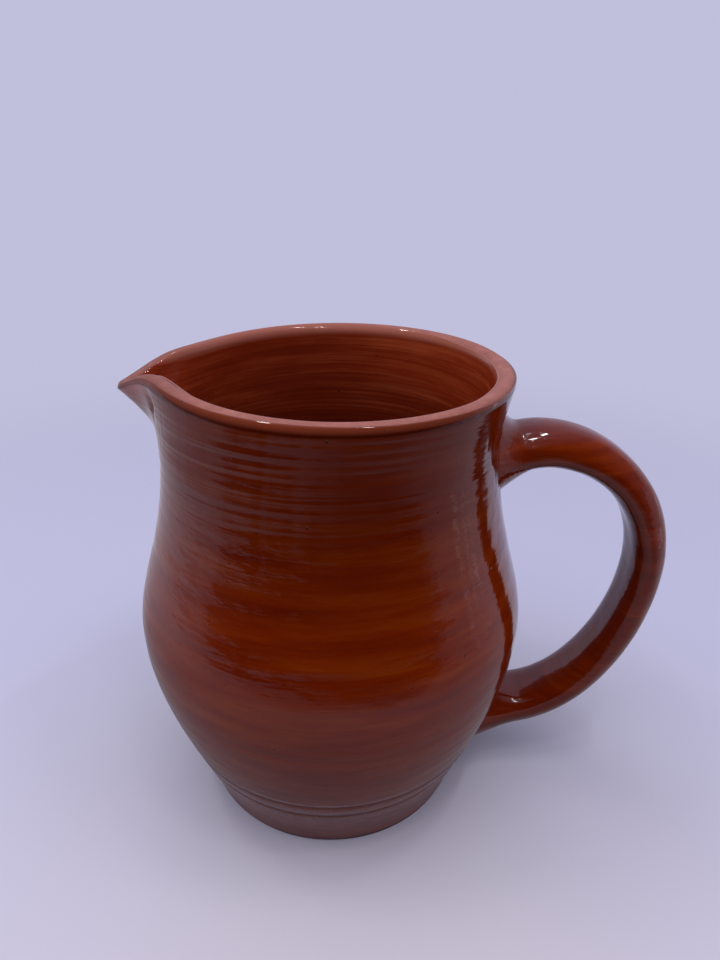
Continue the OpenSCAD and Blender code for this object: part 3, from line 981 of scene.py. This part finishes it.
def room_light():
    """How bright the card is: a lit table, dim walls with ragged edges, and a brighter crown."""
    m = Material("dark room")
    x, y, high = m.node("ShaderNodeSeparateXYZ", {0: m.place}).outputs
    away = m.math("SQRT", m.math("MULTIPLY_ADD", x, x, m.times(y, y)))
    waver = m.times(m.less(m.texture(m.place, 22.0, 2.0), 0.5), 34.0)

    # Degrees round from the front: to_right is up to the right, and to_left up to the left
    to_right = m.math("MULTIPLY_ADD", m.math("ARCTAN2", x, m.times(y, -1.0)), 180 / math.pi, waver)
    to_left = m.times(to_right, -1.0)

    far = m.add(0.05, m.times(m.share(to_left, -10.0, 80.0), 0.48),
                m.times(m.share(to_right, 35.0, 95.0), 0.34))
    shore = m.share(away, 0.19, 0.29)
    near = m.math("MULTIPLY_ADD", m.share(away, CARD_START, 0.16), 0.16, 0.18)
    table = m.add(m.times(m.less(1.0, shore), near), m.times(shore, far))

    left_edge = m.math("MULTIPLY_ADD", high, -320.0, to_left)
    left = m.add(m.times(m.share(to_left, 45.0, 110.0), 0.14),
                 m.times(m.share(left_edge, 58.0, 61.0), 0.25))
    right_edge = m.math("MULTIPLY_ADD", high, -200.0, to_right)
    right = m.add(m.times(m.share(to_right, 50.0, 100.0), 0.18),
                  m.times(m.share(right_edge, 55.0, 60.0), 0.22))
    streak = m.times(m.bell(right_edge, 88.0, 2.5), m.share(m.texture(m.place, 40.0), 0.45, 0.6), 1.6)
    crown = m.times(m.share(high, 0.45, 0.75), 0.42)
    wall = m.add(left, right, streak, crown)

    up_the_wall = m.add(m.times(high, 1.6), m.less(away, TABLE_EDGE - 20 * MM),
                        m.times(waver, 4 * MM))
    raised = m.share(up_the_wall, -12 * MM, 12 * MM)
    lit = m.add(m.times(table, m.less(1.0, raised)), m.times(wall, raised))
    ends = m.math("MAXIMUM", m.share(to_left, 112.0, 146.0), m.share(to_right, 100.0, 118.0))
    lit = m.math("MULTIPLY_ADD", ends, m.less(0.55, lit), lit)
    m.put(m.group.nodes["Material Output"].inputs["Surface"], glow(m, (1.0, 0.95, 1.15), lit))
    return m.material


def dark_room():
    """The card itself: only the mirror-like glaze sees it."""
    profile = [(r, 1 * MM) for r in np.linspace(CARD_START, TABLE_EDGE, 16)]
    profile += [(TABLE_EDGE, z) for z in np.linspace(0.05, WALL_TOP, 10)] + CROWN
    angles = np.radians(np.linspace(-90 - CARD_LEFT, -90 + CARD_RIGHT, 80))
    points = [(r * math.cos(a), r * math.sin(a), z) for a in angles for r, z in profile]
    rows = len(profile)
    faces = [(i * rows + j, i * rows + j + 1, (i + 1) * rows + j + 1, (i + 1) * rows + j)
             for i in range(len(angles) - 1) for j in range(rows - 1)]
    card = stage_object("dark_room", points, faces, room_light())
    for kind in ("camera", "diffuse", "transmission", "volume_scatter", "shadow"):
        setattr(card, "visible_" + kind, False)


dark_room()

world = bpy.data.worlds.new("soft room")
bpy.context.scene.world = world
world.use_nodes = True
background = world.node_tree.nodes["Background"]
background.inputs["Color"].default_value = (*BACKDROP, 1.0)
background.inputs["Strength"].default_value = 1.0

LAMP_AIM = Vector((0.0, 0.0, 0.08))  # the middle of the pot's belly


def lamp(name, place, size, power, mirrored=True):
    """A lamp that faces the pot; the glaze shows it only if it is mirrored."""
    light = bpy.data.lights.new(name, "AREA")
    light.shape = "RECTANGLE"
    light.size, light.size_y = size
    light.energy = power
    made = bpy.data.objects.new(name, light)
    made.location = place
    made.rotation_euler = (LAMP_AIM - Vector(place)).to_track_quat("-Z", "Y").to_euler()
    made.visible_glossy = mirrored
    bpy.context.scene.collection.objects.link(made)


lamp("soft_ceiling", (-0.1, -0.1, 1.0), (1.3, 1.1), 12.0, mirrored=False)
for label, side in (("left", -1), ("right", 1)):
    lamp("side_light_" + label, (0.6 * side, -0.12, 0.26), (0.5, 0.4), 1.5, mirrored=False)
lamp("small_lamp_left", (-0.24, -0.02, 0.61), (0.12, 0.004), 0.5)
lamp("small_lamp_right", (0.18, -0.06, 0.63), (0.10, 0.004), 0.4)
lamp("small_lamp_middle", (0.10, -0.2, 0.6), (0.06, 0.004), 0.2)

CAMERA_AIM = Vector((0.0097, 0.0, 0.1189))
CAMERA_DISTANCE = 0.2452
ELEVATION, ROLL = math.radians(25.85), math.radians(0.63)

lens = bpy.data.cameras.new("camera")
lens.lens = 27.0
lens.sensor_width = 36.0
lens.clip_start = 0.01
camera = bpy.data.objects.new("camera", lens)
bpy.context.scene.collection.objects.link(camera)
back_and_up = Vector((0.0, -math.cos(ELEVATION), math.sin(ELEVATION)))
camera.location = CAMERA_AIM + CAMERA_DISTANCE * back_and_up
camera.rotation_euler = (math.radians(90) - ELEVATION, 0.0, 0.0)
camera.rotation_euler.rotate_axis("Z", ROLL)
bpy.context.scene.camera = camera
bpy.context.scene.view_settings.view_transform = "Standard"
